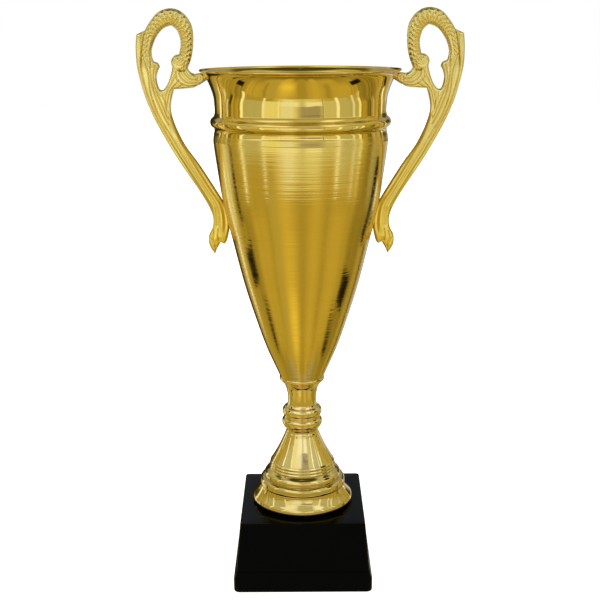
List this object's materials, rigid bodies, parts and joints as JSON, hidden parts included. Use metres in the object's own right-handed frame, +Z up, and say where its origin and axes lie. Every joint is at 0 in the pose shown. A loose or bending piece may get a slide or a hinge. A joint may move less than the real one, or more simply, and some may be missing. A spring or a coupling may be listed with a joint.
{
  "type": "cup trophy",
  "caption": "Tall two-handled cup trophy: flared spun bowl on a turned stem and stepped foot, bolted through to a black square base.",
  "frame": {"origin": "centre of the base's footprint on the surface that the cup stands on", "axes": "+Z up along the tie rod, handles along X, front face of the base towards -Y"},
  "size_m": [0.259, 0.16, 0.4746],
  "materials": {
    "bowl_gold": "gold-plated spun steel, mirror collar above a fine turned body",
    "handle_gold": "satin pale gold casting",
    "stem_gold": "bright metallised gold moulding",
    "steel": "zinc-plated hardware",
    "soft_pad": "soft white polyethylene",
    "gasket_black": "thin black rubber",
    "base_black": "polished black moulding",
    "plate_black": "moulded black cover",
    "weight_grey": "cast cement ballast",
    "felt": "dark felt"
  },
  "bodies": {
    "root": {"bowl": "bowl_gold", "handle_left": "handle_gold", "handle_right": "handle_gold", "handle_screws": "steel", "handle_washers": "steel", "rod_cap_nut": "steel", "rod_lock_washer": "steel", "bowl_washer": "steel", "seat_pad": "soft_pad", "stem_cup": "stem_gold", "knot_upper": "stem_gold", "knot_lower": "stem_gold", "foot": "stem_gold", "foot_spacer": "steel", "foot_gasket": "gasket_black", "tie_rod": "steel", "base_shell": "base_black", "base_weight": "weight_grey", "base_washer": "steel", "base_nut": "steel", "base_plate": "plate_black", "plate_screws": "steel", "base_felt": "felt"}
  },
  "joints": []
}
